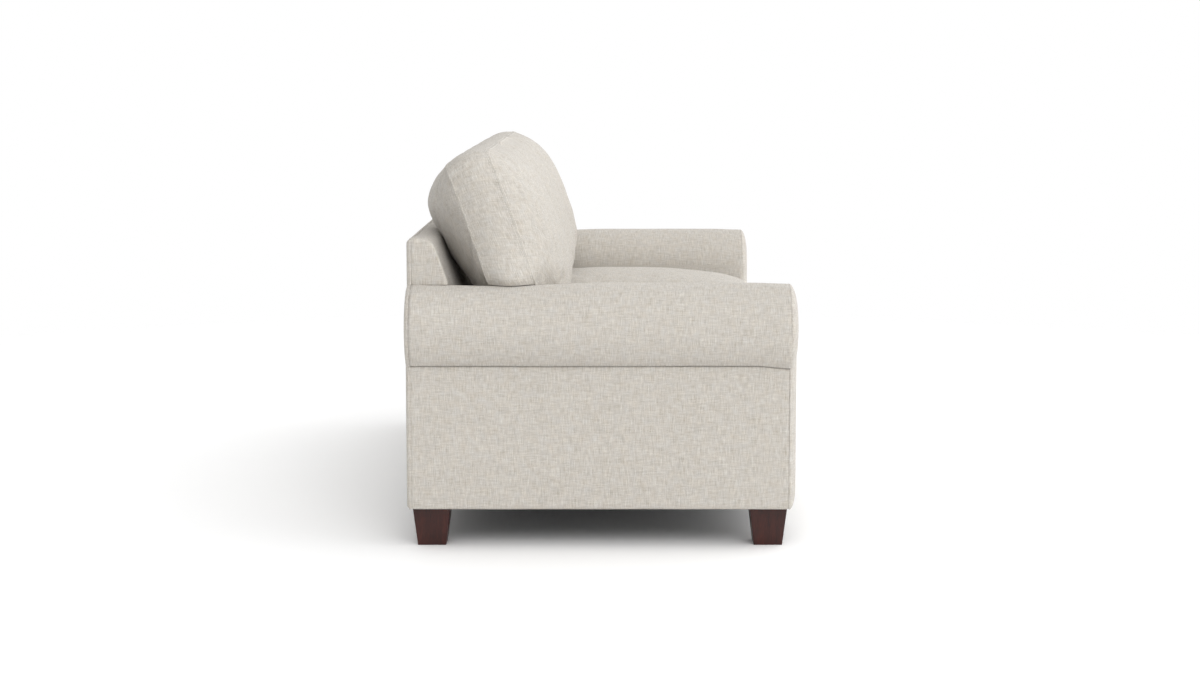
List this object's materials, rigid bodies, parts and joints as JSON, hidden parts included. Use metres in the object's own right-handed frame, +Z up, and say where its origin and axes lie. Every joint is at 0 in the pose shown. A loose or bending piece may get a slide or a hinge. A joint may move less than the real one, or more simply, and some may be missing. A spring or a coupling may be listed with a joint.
{
  "type": "rolled arm sofa",
  "caption": "Upholstered sofa with round rolled arms, loose boxed seat and back cushions, and tapered wooden legs on a rail frame.",
  "frame": {"origin": "on the floor under the middle of the sofa's overall box", "axes": "+X to the right as seen from the front, -Y to the front, +Z up"},
  "size_m": [2.16, 0.97, 0.9829],
  "materials": {
    "upholstery": "matte",
    "cushion_cover": "matte",
    "deck_cloth": "matte",
    "dust_cloth": "matte",
    "leg_wood": "satin",
    "support_foot": "matte",
    "frame_wood": "matte",
    "spring_steel": "satin",
    "webbing": "matte"
  },
  "bodies": {
    "root": {"back_top_rail": "frame_wood", "back_web_1": "webbing", "back_web_2": "webbing", "back_web_3": "webbing", "centre_foot": "support_foot", "centre_stretcher": "frame_wood", "dust_cover": "dust_cloth", "front_border": "upholstery", "front_rail": "frame_wood", "inside_back": "upholstery", "left_arm_roll_rail": "frame_wood", "left_back_end_panel": "upholstery", "left_back_post": "frame_wood", "left_back_upright": "frame_wood", "left_back_wing_board": "frame_wood", "left_front_arm_board": "frame_wood", "left_front_arm_panel": "upholstery", "left_front_corner_block": "frame_wood", "left_front_leg": "leg_wood", "left_inner_arm_rail": "frame_wood", "left_inside_arm": "upholstery", "left_outside_arm": "upholstery", "left_rear_arm_board": "frame_wood", "left_rear_corner_block": "frame_wood", "left_rear_leg": "leg_wood", "left_side_rail": "frame_wood", "left_stretcher": "frame_wood", "outside_back": "upholstery", "rear_rail": "frame_wood", "rear_seat_rail": "frame_wood", "right_arm_roll_rail": "frame_wood", "right_back_end_panel": "upholstery", "right_back_post": "frame_wood", "right_back_upright": "frame_wood", "right_back_wing_board": "frame_wood", "right_front_arm_board": "frame_wood", "right_front_arm_panel": "upholstery", "right_front_corner_block": "frame_wood", "right_front_leg": "leg_wood", "right_inner_arm_rail": "frame_wood", "right_inside_arm": "upholstery", "right_outside_arm": "upholstery", "right_rear_arm_board": "frame_wood", "right_rear_corner_block": "frame_wood", "right_rear_leg": "leg_wood", "right_side_rail": "frame_wood", "right_stretcher": "frame_wood", "seat_deck": "deck_cloth", "seat_spring_1": "spring_steel", "seat_spring_2": "spring_steel", "seat_spring_3": "spring_steel", "seat_spring_4": "spring_steel", "seat_spring_5": "spring_steel", "seat_spring_6": "spring_steel"},
    "centre_back_cushion": {"centre_back_cushion": "cushion_cover"},
    "centre_seat_cushion": {"centre_seat_cushion": "cushion_cover"},
    "left_back_cushion": {"left_back_cushion": "cushion_cover"},
    "left_seat_cushion": {"left_seat_cushion": "cushion_cover"},
    "right_back_cushion": {"right_back_cushion": "cushion_cover"},
    "right_seat_cushion": {"right_seat_cushion": "cushion_cover"}
  },
  "joints": [
    {"name": "left_seat_cushion_slide", "type": "slide", "parent": "root", "child": "left_seat_cushion", "axis": [0, -1, 0], "range_m": [0, 0.6]},
    {"name": "centre_seat_cushion_slide", "type": "slide", "parent": "root", "child": "centre_seat_cushion", "axis": [0, -1, 0], "range_m": [0, 0.6]},
    {"name": "right_seat_cushion_slide", "type": "slide", "parent": "root", "child": "right_seat_cushion", "axis": [0, -1, 0], "range_m": [0, 0.6]},
    {"name": "left_back_cushion_lift", "type": "slide", "parent": "root", "child": "left_back_cushion", "axis": [0, 0.342, 0.9397], "range_m": [0, 0.35]},
    {"name": "centre_back_cushion_lift", "type": "slide", "parent": "root", "child": "centre_back_cushion", "axis": [0, 0.342, 0.9397], "range_m": [0, 0.35]},
    {"name": "right_back_cushion_lift", "type": "slide", "parent": "root", "child": "right_back_cushion", "axis": [0, 0.342, 0.9397], "range_m": [0, 0.35]}
  ]
}
